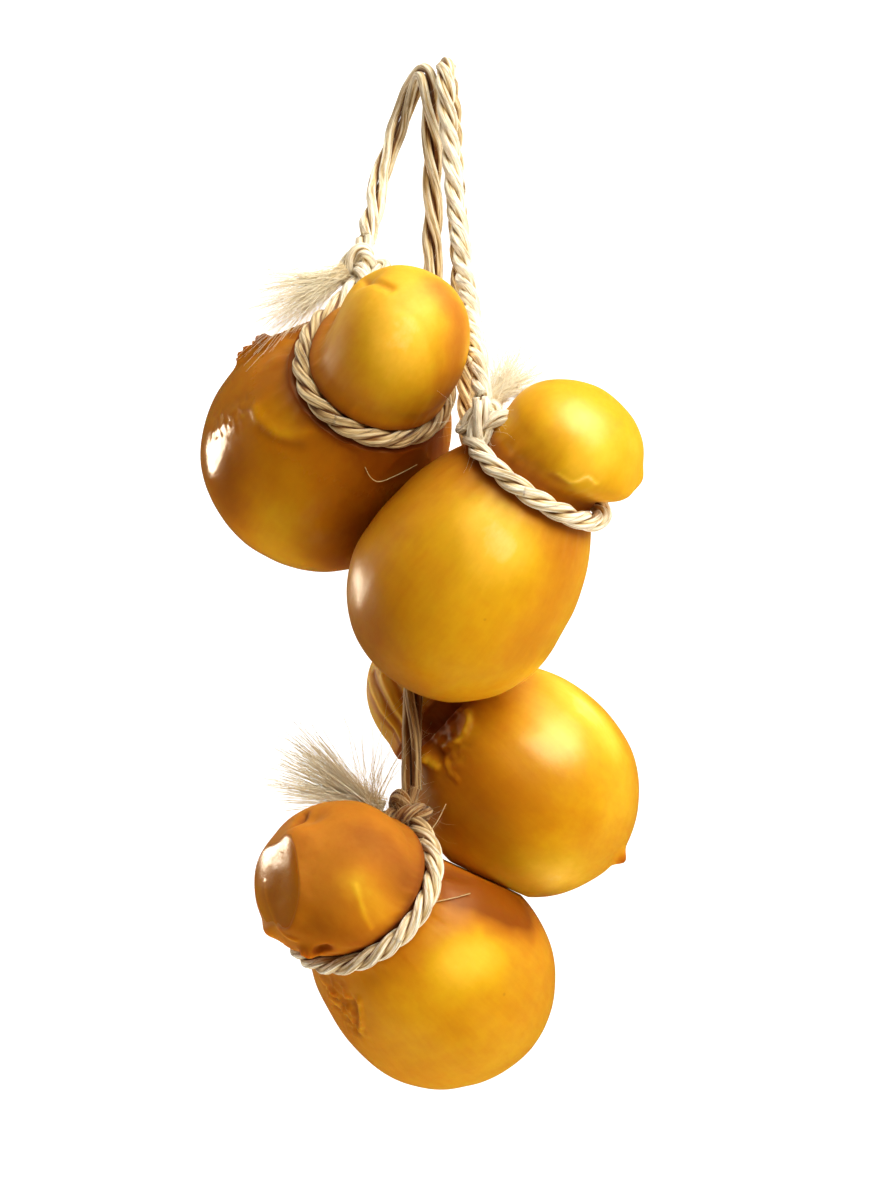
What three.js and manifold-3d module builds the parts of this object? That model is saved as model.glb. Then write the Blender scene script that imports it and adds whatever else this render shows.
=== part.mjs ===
// A bunch of four smoked scamorze, tied in pairs by two lengths of three-strand twine and laid on its
// back. Millimetres, +Z up, resting on z = 0; the twine's hanging loop points along +Y.
import * as THREE from "three";
import { mergeVertices } from "three/addons/utils/BufferGeometryUtils.js";
import Module from "manifold-3d";

const wasm = await Module();
wasm.setup();

// Driving dimensions
const TWINE = 5.4; // diameter of the twine
const GAP = 0.3; // clearance between neighbouring pieces
const FILLET = 9; // rounding where a head runs into its body
const FRAY_ROOT = 2.6; // radius of a frayed end at its knot
const FRAY_FLATTEN = 0.4; // thickness of its fan over its width
const AROUND = 24; // facets around a cheese and along its neck loop
const LOWER_RINGS = 12;
const GROOVE_RINGS = 5;
const UPPER_RINGS = 9;
const TWINE_SIDES = 8;
const POLE_PACKING = 1.6; // draws the rings in towards a cheese's two ends, where it curves most
const KNOT_FACETS = [10, 8]; // around and up a knot
const FAN_FACETS = [12, 3]; // around and along a frayed end
const BED = TWINE / 2 + GAP; // half-width of the groove that a neck loop lies in
const RIM = 0.01; // height of the groove's edge, between its outer ring and the skin's last
const TWINE_STEP = 1.4 * TWINE; // along a free length of twine

// Each cheese stands on its own +Y axis, body centre at the origin, head up; its +Z side shows when it
// lies down. heading is the axis' compass angle on the floor, rise its slope above the floor (degrees).
// The neck's radius is that of the twine's centreline; pull draws the loop out to its knot, at `turn`
// degrees from the shown side. A bump sits at height `at` and angle `turn` on the skin.
const CHEESES = [
  {
    name: "upper_left",
    centre: [-28.2, 60.6, 32.2],
    heading: 56,
    rise: 48,
    body: { at: 0, low: 32, high: 52, radius: 33.9 },
    neck: { at: 39, radius: 22.4, turn: 210, pull: 9, spread: 17 },
    head: { at: 50.5, low: 22, high: 26.5, radius: 21, shift: [0.6, 0] },
    knot: { size: [7, 6, 9], lift: 0, out: 3.6 },
    bumps: [
      { at: 34, turn: -100, size: 13, lift: -4.5 },
      { at: 27, turn: -96, size: 3, lift: 2.5 },
      { at: 31, turn: -72, size: 3, lift: 1.2 },
      { at: 67, turn: -100, size: 5, lift: -2.2 },
      { at: 58, turn: -75, size: 9, lift: -1.2 },
      { at: 66, turn: 150, size: 10, lift: 1.2 },
    ],
  },
  {
    name: "centre",
    centre: [10.3, 21.5, 66],
    heading: 56,
    rise: 17,
    body: { at: 0, low: 30.5, high: 48.6, radius: 30.8 },
    neck: { at: 40.5, radius: 21.2, turn: 285, pull: 0, spread: 22 },
    head: { at: 53.5, low: 17.5, high: 16.5, radius: 20.1, shift: [3.4, 0] },
    knot: { size: [6, 7, 7], lift: 5, out: -1 },
    bumps: [
      { at: 56, turn: 88, size: 3, lift: 2 },
      { at: 51, turn: 22, size: 4, lift: -0.9 },
    ],
  },
  {
    name: "lower_right",
    centre: [30.4, -33.3, 30.2],
    heading: 136,
    rise: -12,
    body: { at: 0, low: 32.2, high: 40, radius: 30.5 },
    neck: { at: 29, radius: 15.5, turn: 100, pull: 5, spread: 30 },
    head: { at: 37, low: 20, high: 21, radius: 18.5, shift: [0, 0] },
    knot: { size: [6.5, 6, 8], lift: 0, out: 3.2 },
    bumps: [
      { at: -32, turn: 90, size: 2.5, lift: 2.2 },
      { at: 24, turn: -30, size: 4, lift: 1.8 },
      { at: 22, turn: -4, size: 4, lift: 1.6 },
      { at: 21, turn: -17, size: 3, lift: -1.4 },
    ],
  },
  {
    name: "bottom",
    centre: [6.0, -86.7, 31.9],
    heading: 132,
    rise: 40,
    body: { at: 0, low: 33, high: 50, radius: 31.8 },
    neck: { at: 43, radius: 23.2, turn: 118, pull: 2, spread: 22 },
    head: { at: 53, low: 24, high: 20.5, radius: 23, shift: [-2.5, 0] },
    knot: { size: [7, 6, 8], lift: 0, out: 0 },
    bumps: [
      { at: 68, turn: -110, size: 8, lift: 2 },
      { at: 64, turn: -60, size: 8, lift: -1.2 },
      { at: 72, turn: 125, size: 3.5, lift: -1.5 },
      { at: 57, turn: -88, size: 3, lift: 1.8 },
      { at: 27, turn: -62, size: 5, lift: -0.9 },
      { at: 20, turn: -74, size: 5, lift: -0.8 },
    ],
  },
];

// The frayed end that stands out of each knot: a flat fan from its root, `heading` and `rise` as above.
const FRAYS = [
  { name: "upper_left", root: [-23.2, 110, 42.5], heading: 205, rise: 18, length: 25, width: 19 },
  { name: "centre", root: [20.5, 74.8, 78.5], heading: 48, rise: -36, length: 17, width: 15 },
  { name: "lower_right", root: [31.0, 10.6, 19.5], heading: 80, rise: 0, length: 14, width: 12 },
  { name: "bottom", root: [-13.2, -38.0, 48], heading: 154, rise: 5, length: 26, width: 18 },
];

// Centrelines of the two free lengths of twine, from knot to knot by way of the hanging loop at the top.
const TWINES = [
  {
    name: "upper_left_to_bottom",
    route: [
      [-15.6, 120.8, 33.1],
      [-14.8, 124.6, 28.8],
      [-13.6, 129.8, 22.4],
      [-12.6, 135.3, 15.8],
      [-11.4, 141.2, 9.6],
      [-10, 146.8, 5.4],
      [-8.2, 152, 3.4],
      [-6.2, 156.5, 2.8],
      [-4.3, 161.5, 2.9],
      [-2.6, 165.6, 3.9],
      [-0.8, 168.8, 6.2],
      [0.6, 170.2, 9.6],
      [1.8, 168.8, 12.8],
      [2.5, 164.6, 14.2],
      [2.9, 159, 13.3],
      [3.2, 151, 10.5],
      [3.4, 142.5, 7],
      [3.4, 133, 4],
      [3.4, 122, 2.8],
      [3.2, 100, 2.8],
      [3, 76.5, 2.8],
      [3, 61, 3],
      [2.8, 48.5, 6],
      [2.5, 37, 14],
      [0.8, 25, 24],
      [-1.2, 15, 32.2],
      [-2.2, 5, 39.1],
      [-2.3, -6, 44.6],
      [-2.2, -16, 47.7],
      [-2.2, -25, 48.6],
      [-2.3, -33.4, 46.4],
    ],
  },
  {
    name: "centre_to_lower_right",
    route: [
      [17, 74.5, 83.5],
      [16.5, 80, 78.5],
      [15.8, 87.5, 69],
      [14.6, 95.5, 57],
      [13.6, 103.5, 45],
      [12.3, 112, 34.5],
      [11.2, 121.5, 27],
      [10.1, 130.5, 22],
      [9.3, 139.5, 20],
      [8.5, 148, 19.4],
      [7.8, 155.5, 20.2],
      [7.2, 162.6, 21.2],
      [7, 168.5, 19.2],
      [7.2, 171.9, 13],
      [7.6, 169.8, 6.9],
      [8.3, 164.5, 3.6],
      [9, 158.5, 2.8],
      [9.3, 150, 2.8],
      [10, 137, 2.8],
      [11, 123, 2.8],
      [11.5, 105.5, 2.8],
      [12.5, 88, 2.8],
      [13.5, 71, 2.8],
      [14.5, 56.5, 2.8],
      [17, 40.5, 2.8],
      [20.5, 28.5, 4.5],
      [23.5, 20, 8.5],
      [25.3, 14.8, 13],
      [26.6, 10.6, 17.8],
    ],
  },
];

// Pairs that press on each other meet at a flat, square to the line between their centres.
const CONTACTS = [
  ["upper_left", "centre"],
  ["lower_right", "bottom"],
];

const CHEESE = new THREE.MeshStandardMaterial({ color: 0xd8921c, roughness: 0.35, metalness: 0 });
const FIBRE = new THREE.MeshStandardMaterial({ color: 0xd9c9a0, roughness: 0.9, metalness: 0 });

const radians = THREE.MathUtils.degToRad;

// Booleans, on meshes with shared vertices
function solidOf(geometry) {
  const bare = geometry.clone();
  bare.deleteAttribute("normal");
  bare.deleteAttribute("uv");
  const merged = mergeVertices(bare, 1e-4);
  return new wasm.Manifold(
    new wasm.Mesh({
      numProp: 3,
      vertProperties: merged.attributes.position.array,
      triVerts: new Uint32Array(merged.index.array),
    }),
  );
}

function geometryOf(solid) {
  const mesh = solid.getMesh();
  const geometry = new THREE.BufferGeometry();
  geometry.setAttribute("position", new THREE.BufferAttribute(mesh.vertProperties, 3));
  geometry.setIndex(new THREE.BufferAttribute(mesh.triVerts, 1));
  return geometry;
}

// Poses
function poseOf(cheese) {
  const heading = radians(cheese.heading);
  const rise = radians(cheese.rise);
  const flat = new THREE.Vector3(Math.cos(heading), Math.sin(heading), 0);
  const up = new THREE.Vector3(0, 0, 1);
  const axis = flat.clone().multiplyScalar(Math.cos(rise)).addScaledVector(up, Math.sin(rise));
  const shown = flat.clone().multiplyScalar(-Math.sin(rise)).addScaledVector(up, Math.cos(rise));
  const right = new THREE.Vector3().crossVectors(axis, shown);
  return new THREE.Matrix4().makeBasis(right, axis, shown).setPosition(...cheese.centre);
}

// The cheese
function eggRadius(height, egg) {
  const reach = height < egg.at ? egg.low : egg.high;
  return egg.radius * Math.sqrt(Math.max(0, 1 - ((height - egg.at) / reach) ** 2));
}

function skinRadius(height, cheese) {
  const body = eggRadius(height, cheese.body);
  const head = eggRadius(height, cheese.head);
  const fillet = Math.min(FILLET, 2 * body, 2 * head);
  const near = fillet > 0 ? Math.max(0, 1 - Math.abs(body - head) / fillet) : 0;
  return Math.max(body, head) + (near * near * fillet) / 4;
}

function inGroove(height, cheese) {
  return Math.abs(height - cheese.neck.at) < BED + RIM / 2;
}

function cheeseRadius(height, cheese) {
  const skin = skinRadius(height, cheese);
  if (!inGroove(height, cheese)) return skin;
  const depth = Math.sqrt(Math.max(0, BED ** 2 - (height - cheese.neck.at) ** 2));
  return Math.min(skin, cheese.neck.radius - depth);
}

function ringHeights(cheese) {
  const bottom = cheese.body.at - cheese.body.low;
  const top = cheese.head.at + cheese.head.high;
  const heights = [];
  for (let i = 0; i <= LOWER_RINGS; i++) {
    heights.push(bottom + (cheese.neck.at - BED - RIM - bottom) * (i / LOWER_RINGS) ** POLE_PACKING);
  }
  for (let i = 0; i <= GROOVE_RINGS; i++) {
    heights.push(cheese.neck.at - BED * Math.cos((Math.PI * i) / GROOVE_RINGS));
  }
  for (let i = UPPER_RINGS; i >= 0; i--) {
    heights.push(top - (top - cheese.neck.at - BED - RIM) * (i / UPPER_RINGS) ** POLE_PACKING);
  }
  return heights;
}

function cheeseGeometry(cheese, pose, presses) {
  const profile = ringHeights(cheese).map((y) => new THREE.Vector2(cheeseRadius(y, cheese), y));
  profile[0].x = 0;
  profile[profile.length - 1].x = 0;
  const geometry = new THREE.LatheGeometry(profile, AROUND);
  bumpSkin(geometry, cheese);
  pressFlat(geometry, pose, presses, cheese.neck.at - BED);
  return geometry;
}

function bumpCentre(bump, cheese) {
  const radius = skinRadius(bump.at, cheese);
  const turn = radians(bump.turn);
  return new THREE.Vector3(radius * Math.sin(turn), bump.at, radius * Math.cos(turn));
}

function bumpSkin(geometry, cheese) {
  const position = geometry.attributes.position;
  const point = new THREE.Vector3();
  const core = new THREE.Vector3();
  const outward = new THREE.Vector3();
  for (let i = 0; i < position.count; i++) {
    point.fromBufferAttribute(position, i);
    core.set(0, THREE.MathUtils.clamp(point.y, cheese.body.at, cheese.head.at), 0);
    outward.subVectors(point, core).normalize();
    const lifts = cheese.bumps.map((bump) => {
      const distance = point.distanceTo(bumpCentre(bump, cheese));
      return bump.lift * Math.exp(-((distance / bump.size) ** 2));
    });
    const lean = THREE.MathUtils.smoothstep(point.y, cheese.neck.at + BED, cheese.head.at);
    point.addScaledVector(outward, inGroove(point.y, cheese) ? 0 : lifts.reduce((a, b) => a + b, 0));
    point.x += lean * cheese.head.shift[0];
    point.z += lean * cheese.head.shift[1];
    position.setXYZ(i, point.x, point.y, point.z);
  }
}

// Keeps the skin above the floor, and the body, below its shoulder, behind each contact plane
function pressFlat(geometry, pose, presses, shoulder) {
  const back = pose.clone().invert();
  const position = geometry.attributes.position;
  const point = new THREE.Vector3();
  for (let i = 0; i < position.count; i++) {
    point.fromBufferAttribute(position, i);
    const onBody = point.y < shoulder;
    point.applyMatrix4(pose);
    for (const plane of onBody ? presses : []) {
      point.addScaledVector(plane.normal, -Math.min(0, plane.distanceToPoint(point)));
    }
    point.z = Math.max(0, point.z);
    point.applyMatrix4(back);
    position.setXYZ(i, point.x, point.y, point.z);
  }
}

function pressesOn(name) {
  const presses = [];
  for (const pair of CONTACTS.filter((names) => names.includes(name))) {
    const [own, other] = [name, pair.find((item) => item !== name)].map((item) =>
      CHEESES.find((cheese) => cheese.name === item),
    );
    const from = new THREE.Vector3(...own.centre);
    const to = new THREE.Vector3(...other.centre);
    const away = from.clone().sub(to).normalize();
    const slack = from.distanceTo(to) - own.body.radius - other.body.radius - GAP;
    const touch = from.clone().addScaledVector(away, -own.body.radius - slack / 2);
    presses.push(new THREE.Plane().setFromNormalAndCoplanarPoint(away, touch));
  }
  return presses;
}

// Twine round a neck, drawn out to its knot
function neckLoopGeometry(cheese) {
  const { at, radius, turn, pull, spread } = cheese.neck;
  const loop = new THREE.TorusGeometry(radius, TWINE / 2, TWINE_SIDES, AROUND);
  loop.rotateX(Math.PI / 2);
  const position = loop.attributes.position;
  for (let i = 0; i < position.count; i++) {
    const angle = Math.atan2(position.getX(i), position.getZ(i)) - radians(turn);
    const away = THREE.MathUtils.radToDeg(Math.atan2(Math.sin(angle), Math.cos(angle)));
    const grow = 1 + (pull / radius) * Math.exp(-((away / spread) ** 2));
    position.setXYZ(i, position.getX(i) * grow, position.getY(i) + at, position.getZ(i) * grow);
  }
  return loop;
}

function knotGeometry(cheese, margin) {
  const { at, radius, turn, pull } = cheese.neck;
  const [wide, tall, deep] = cheese.knot.size;
  const knot = new THREE.SphereGeometry(1, ...KNOT_FACETS);
  knot.scale(wide + margin, tall + margin, deep + margin);
  knot.translate(0, at + cheese.knot.lift, radius + pull + cheese.knot.out);
  knot.rotateY(radians(turn));
  return knot;
}

function frayGeometry(fray) {
  const fan = new THREE.CylinderGeometry(fray.width / 2, FRAY_ROOT, fray.length, ...FAN_FACETS);
  fan.translate(0, fray.length / 2, 0);
  return fan.scale(1, 1, FRAY_FLATTEN);
}

function twineGeometry(route) {
  const curve = new THREE.CatmullRomCurve3(route.map((point) => new THREE.Vector3(...point)));
  const section = new THREE.Shape();
  section.absarc(0, 0, TWINE / 2, 0, 2 * Math.PI);
  return new THREE.ExtrudeGeometry(section, {
    steps: Math.round(curve.getLength() / TWINE_STEP),
    curveSegments: TWINE_SIDES / 2,
    bevelEnabled: false,
    extrudePath: curve,
  });
}

const bunch = new THREE.Group();
bunch.name = "scamorza_bunch";

for (const cheese of CHEESES) {
  const pose = poseOf(cheese);
  const group = new THREE.Group();
  group.applyMatrix4(pose);
  bunch.add(group);

  const skin = cheeseGeometry(cheese, pose, pressesOn(cheese.name));
  const body = new THREE.Mesh(
    geometryOf(solidOf(skin).subtract(solidOf(knotGeometry(cheese, GAP)))),
    CHEESE,
  );
  body.name = `scamorza_${cheese.name}`;
  group.add(body);

  const tie = new THREE.Mesh(
    geometryOf(solidOf(neckLoopGeometry(cheese)).add(solidOf(knotGeometry(cheese, 0)))),
    FIBRE,
  );
  tie.name = `neck_tie_${cheese.name}`;
  group.add(tie);
}

for (const fray of FRAYS) {
  const fan = new THREE.Mesh(frayGeometry(fray), FIBRE);
  fan.name = `frayed_end_${fray.name}`;
  fan.applyMatrix4(poseOf({ ...fray, centre: fray.root }));
  bunch.add(fan);
}

for (const twine of TWINES) {
  const cord = new THREE.Mesh(twineGeometry(twine.route), FIBRE);
  cord.name = `twine_${twine.name}`;
  bunch.add(cord);
}

export default bunch;
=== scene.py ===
# Looks of a tied bunch of four smoked scamorze, lying on its back. Lengths are in mm until a mesh is made,
# which is in metres. Each cheese has its own +Y axis, head up, and +Z on the side that shows.
import itertools
import math

import bpy
import numpy as np
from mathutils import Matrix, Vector


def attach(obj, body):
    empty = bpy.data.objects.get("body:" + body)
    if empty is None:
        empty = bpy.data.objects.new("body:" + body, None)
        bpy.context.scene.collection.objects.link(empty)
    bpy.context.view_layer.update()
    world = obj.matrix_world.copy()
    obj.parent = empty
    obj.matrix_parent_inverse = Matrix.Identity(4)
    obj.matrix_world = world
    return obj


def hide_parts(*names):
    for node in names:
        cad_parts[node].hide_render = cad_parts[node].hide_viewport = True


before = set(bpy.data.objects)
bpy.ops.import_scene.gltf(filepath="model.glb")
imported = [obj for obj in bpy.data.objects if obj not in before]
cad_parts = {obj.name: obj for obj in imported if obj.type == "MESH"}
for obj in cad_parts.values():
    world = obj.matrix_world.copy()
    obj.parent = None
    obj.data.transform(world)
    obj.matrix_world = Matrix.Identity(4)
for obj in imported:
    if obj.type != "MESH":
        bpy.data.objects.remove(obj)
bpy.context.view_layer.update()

MM = 0.001

# --- sizes shared with the CAD ---

TWINE = 5.4
GAP = 0.3  # between neighbouring pieces
FILLET = 9  # where a head runs into its body
FRAY_ROOT = 2.6  # radius of a frayed end at its knot
FRAY_FLATTEN = 0.4  # thickness of its fan over its width
BED = TWINE / 2 + GAP  # half-width of the groove that a neck loop lies in

# `body` and `head` are eggs: height of the middle, reach below and above it, and radius. Turns are in
# degrees round the axis, from the side that shows towards the cheese's right, and `shift` moves the head
# to that right. `squeeze` is a turn, a spread in degrees and a depth. `folded_over` is the two turns that
# a fold of skin hides the twine between. `bumps` are height, turn, size and lift.
CHEESES = {
    "upper_left": {
        "centre": (-28.2, 60.6, 32.2), "heading": 56, "rise": 48,
        "body": (0, 32, 52, 33.9), "head": (50.5, 22, 26.5, 21), "shift": 0.6,
        "neck": {"at": 39, "radius": 22.4, "turn": 210, "pull": 9, "spread": 17, "squeeze": (-80, 42, 3.2)},
        "knot": {"size": (7, 6, 9), "lift": 0, "out": 3.6},
        "bumps": [(34, -100, 13, -4.5), (27, -96, 3, 2.5), (31, -72, 3, 1.2), (67, -100, 5, -2.2),
                  (58, -75, 9, -1.2), (66, 150, 10, 1.2)],
    },
    "centre": {
        "centre": (10.3, 21.5, 66), "heading": 56, "rise": 17,
        "body": (0, 30.5, 48.6, 30.8), "head": (53.5, 17.5, 16.5, 20.1), "shift": 3.4,
        "neck": {"at": 40.5, "radius": 21.2, "turn": 285, "pull": 0, "spread": 22},
        "knot": {"size": (6, 7, 7), "lift": 5, "out": -1},
        "bumps": [(56, 88, 3, 1.2), (51, 22, 4, -0.9), (50, 68, 6, 2.2)],
    },
    "lower_right": {
        "centre": (30.4, -33.3, 30.2), "heading": 136, "rise": -12,
        "body": (0, 32.2, 40, 30.5), "head": (37, 20, 21, 18.5), "shift": 0,
        "neck": {"at": 29, "radius": 15.5, "turn": 100, "pull": 5, "spread": 30, "folded_over": (-70, 30)},
        "knot": {"size": (6.5, 6, 8), "lift": 0, "out": 3.2},
        "bumps": [(-32, 90, 2.5, 2.2), (24, -30, 4, 1.8), (22, -4, 4, 1.6), (21, -17, 3, -1.4)],
    },
    "bottom": {
        "centre": (6.0, -86.7, 31.9), "heading": 132, "rise": 40,
        "body": (0, 33, 50, 31.8), "head": (53, 24, 20.5, 23), "shift": -2.5,
        "neck": {"at": 43, "radius": 23.2, "turn": 118, "pull": 2, "spread": 22},
        "knot": {"size": (7, 6, 8), "lift": 0, "out": 0},
        "bumps": [(68, -110, 8, 2), (64, -60, 8, -1.2), (72, 125, 3.5, -1.5), (57, -88, 3, 1.8),
                  (27, -62, 5, -0.9), (20, -74, 5, -0.8)],
    },
}
CONTACTS = [("upper_left", "centre"), ("lower_right", "bottom")]

FRAYS = {
    "upper_left": {"root": (-23.2, 110, 42.5), "heading": 205, "rise": 18, "length": 25, "width": 19},
    "centre": {"root": (20.5, 74.8, 78.5), "heading": 48, "rise": -36, "length": 17, "width": 15},
    "lower_right": {"root": (31.0, 10.6, 19.5), "heading": 80, "rise": 0, "length": 14, "width": 12},
    "bottom": {"root": (-13.2, -38.0, 48), "heading": 154, "rise": 5, "length": 26, "width": 18},
}

TWINES = {
    "upper_left_to_bottom": [
        (-15.6, 120.8, 33.1), (-14.8, 124.6, 28.8), (-13.6, 129.8, 22.4), (-12.6, 135.3, 15.8),
        (-11.4, 141.2, 9.6), (-10, 146.8, 5.4), (-8.2, 152, 3.4), (-6.2, 156.5, 2.8),
        (-4.3, 161.5, 2.9), (-2.6, 165.6, 3.9), (-0.8, 168.8, 6.2), (0.6, 170.2, 9.6),
        (1.8, 168.8, 12.8), (2.5, 164.6, 14.2), (2.9, 159, 13.3), (3.2, 151, 10.5), (3.4, 142.5, 7),
        (3.4, 133, 4), (3.4, 122, 2.8), (3.2, 100, 2.8), (3, 76.5, 2.8), (3, 61, 3), (2.8, 48.5, 6),
        (2.5, 37, 14), (0.8, 25, 24), (-1.2, 15, 32.2), (-2.2, 5, 39.1), (-2.3, -6, 44.6),
        (-2.2, -16, 47.7), (-2.2, -25, 48.6), (-2.3, -33.4, 46.4),
    ],
    "centre_to_lower_right": [
        (17, 74.5, 83.5), (16.5, 80, 78.5), (15.8, 87.5, 69), (14.6, 95.5, 57), (13.6, 103.5, 45),
        (12.3, 112, 34.5), (11.2, 121.5, 27), (10.1, 130.5, 22), (9.3, 139.5, 20), (8.5, 148, 19.4),
        (7.8, 155.5, 20.2), (7.2, 162.6, 21.2), (7, 168.5, 19.2), (7.2, 171.9, 13), (7.6, 169.8, 6.9),
        (8.3, 164.5, 3.6), (9, 158.5, 2.8), (9.3, 150, 2.8), (10, 137, 2.8), (11, 123, 2.8),
        (11.5, 105.5, 2.8), (12.5, 88, 2.8), (13.5, 71, 2.8), (14.5, 56.5, 2.8), (17, 40.5, 2.8),
        (20.5, 28.5, 4.5), (23.5, 20, 8.5), (25.3, 14.8, 13), (26.6, 10.6, 17.8),
    ],
}

# --- camera: straight above, with a long lens ---

camera_data = bpy.data.cameras.new("camera")
camera_data.sensor_width = 36
camera_data.lens = 155.9
camera_data.clip_end = 50
camera = bpy.data.objects.new("camera", camera_data)
camera.location = (0.0049, 0.0193, 1.5)
bpy.context.scene.collection.objects.link(camera)
bpy.context.scene.camera = camera

# --- small helpers ---


def unit(vectors):
    return vectors / np.maximum(np.linalg.norm(vectors, axis=-1, keepdims=True), 1e-12)


def smoothstep(x, low, high):
    t = np.clip((x - low) / (high - low), 0, 1)
    return t * t * (3 - 2 * t)


def noise(points, size, seed):
    """Gradient noise of about -1 to 1, with features about `size` mm across."""
    rng = np.random.default_rng(seed)
    order = rng.permutation(256)
    slopes = unit(rng.normal(size=(256, 3)))
    q = np.asarray(points, float) / size
    cell = np.floor(q).astype(int)
    f = q - cell
    fade = f * f * f * (f * (f * 6 - 15) + 10)
    total = np.zeros(len(q))
    for corner in itertools.product((0, 1), repeat=3):
        i = (cell + corner) & 255
        index = order[(order[(order[i[:, 0]] + i[:, 1]) & 255] + i[:, 2]) & 255]
        weight = np.prod(np.where(corner, fade, 1 - fade), axis=1)
        total += weight * ((f - corner) * slopes[index]).sum(1)
    return total * 1.6


def mesh_object(name, points, faces, material, uv, stored):
    """A smooth piece from points in mm. `uv` (or None) and `stored` hold a value for each point."""
    mesh = bpy.data.meshes.new(name)
    mesh.vertices.add(len(points))
    mesh.vertices.foreach_set("co", (np.asarray(points, np.float32) * MM).ravel())
    faces = np.asarray(faces, np.int32)
    mesh.loops.add(faces.size)
    mesh.loops.foreach_set("vertex_index", faces.ravel())
    mesh.polygons.add(len(faces))
    mesh.polygons.foreach_set("loop_start", np.arange(0, faces.size, faces.shape[1], dtype=np.int32))
    mesh.polygons.foreach_set("use_smooth", np.ones(len(faces), bool))
    if uv is not None:
        layer = mesh.uv_layers.new(name="UVMap")
        layer.data.foreach_set("uv", np.asarray(uv, np.float32)[faces.ravel()].ravel())
    for key, values in stored.items():
        kind, field = ("FLOAT", "value") if values.ndim == 1 else ("FLOAT_VECTOR", "vector")
        mesh.attributes.new(key, kind, "POINT").data.foreach_set(field, values.astype(np.float32).ravel())
    mesh.update(calc_edges=True)
    mesh.validate()
    mesh.materials.append(material)
    piece = bpy.data.objects.new(name, mesh)
    bpy.context.scene.collection.objects.link(piece)
    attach(piece, "root")
    return piece


def pose_of(heading, rise):
    """Columns: right, axis, shown."""
    h, r = math.radians(heading), math.radians(rise)
    flat, up = np.array([math.cos(h), math.sin(h), 0]), np.array([0, 0, 1.0])
    axis = flat * math.cos(r) + up * math.sin(r)
    shown = -flat * math.sin(r) + up * math.cos(r)
    return np.stack([np.cross(axis, shown), axis, shown], axis=1)


def placed(points, cheese):
    return points @ pose_of(cheese["heading"], cheese["rise"]).T + cheese["centre"]


def curve_through(route, step):
    """Centripetal Catmull-Rom curve, with points about `step` apart."""
    p = np.array(route, float)
    p = np.vstack([2 * p[0] - p[1], p, 2 * p[-1] - p[-2]])
    out = []
    t = np.linspace(0, 1, 40, endpoint=False)[:, None]
    for a, b, c, d in zip(p, p[1:], p[2:], p[3:]):
        u, v, w = (math.sqrt(np.linalg.norm(x)) for x in (b - a, c - b, d - c))
        start = ((b - a) / u - (c - a) / (u + v) + (c - b) / v) * v
        end = ((c - b) / v - (d - b) / (v + w) + (d - c) / w) * v
        out.append(b + start * t + (3 * (c - b) - 2 * start - end) * t**2
                   + (2 * (b - c) + start + end) * t**3)
    return spaced(np.vstack([*out, p[-2:-1]]), step)


def distance_along(line):
    return np.concatenate([[0], np.cumsum(np.linalg.norm(np.diff(line, axis=0), axis=1))])


def spaced(line, step):
    along = distance_along(line)
    at = np.linspace(0, along[-1], max(2, round(along[-1] / step) + 1))
    return np.stack([np.interp(at, along, line[:, k]) for k in range(3)], axis=1)


def length_of(line):
    return float(np.linalg.norm(np.diff(line, axis=0), axis=1).sum())


# --- materials ---


class Nodes:
    """Short calls for building a node tree."""

    def __init__(self, name):
        self.material = bpy.data.materials.new(name)
        self.material.use_nodes = True
        self.tree = self.material.node_tree
        self.tree.nodes.clear()
        self.out = self.add("ShaderNodeOutputMaterial")

    def add(self, kind, inputs=None, **settings):
        node = self.tree.nodes.new(kind)
        for key, value in settings.items():
            setattr(node, key, value)
        for key, value in (inputs or {}).items():
            if isinstance(value, bpy.types.NodeSocket):
                self.tree.links.new(value, node.inputs[key])
            else:
                node.inputs[key].default_value = value
        return node

    def times(self, a, b):
        return self.add("ShaderNodeMath", {0: a, 1: b}, operation="MULTIPLY").outputs[0]

    def total(self, start, *parts):
        """The start and each part's value times its weight, added up."""
        for value, weight in parts:
            node = self.add("ShaderNodeMath", {0: value, 1: weight, 2: start}, operation="MULTIPLY_ADD")
            start = node.outputs[0]
        return start

    def attribute(self, name, output="Fac"):
        return self.add("ShaderNodeAttribute", attribute_name=name).outputs[output]

    def noise(self, vector, scale, detail=3.0, rough=0.55):
        return self.add("ShaderNodeTexNoise", {"Vector": vector, "Scale": scale, "Detail": detail,
                                               "Roughness": rough}).outputs["Fac"]

    def spread(self, value, low, high, to_low=0.0, to_high=1.0):
        return self.add("ShaderNodeMapRange", {"Value": value, "From Min": low, "From Max": high,
                                               "To Min": to_low, "To Max": to_high}).outputs[0]

    def stretched(self, vector, scale):
        return self.add("ShaderNodeMapping", {"Vector": vector, "Scale": scale}).outputs[0]

    def ramp(self, value, stops):
        node = self.add("ShaderNodeValToRGB", {"Fac": value})
        elements = node.color_ramp.elements
        while len(elements) < len(stops):
            elements.new(0.5)
        for element, (at, colour) in zip(elements, stops):
            element.position, element.color = at, (*colour, 1)
        return node.outputs[0]

    def mix(self, factor, a, b, blend="MIX"):
        node = self.add("ShaderNodeMix", data_type="RGBA", blend_type=blend)
        for key, value in ((0, factor), (6, a), (7, b)):
            if isinstance(value, bpy.types.NodeSocket):
                self.tree.links.new(value, node.inputs[key])
            else:
                node.inputs[key].default_value = value if key == 0 else (*value, 1)
        return node.outputs[2]

    def finish(self, shader):
        self.tree.links.new(shader.outputs[0], self.out.inputs["Surface"])
        return self.material


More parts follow.
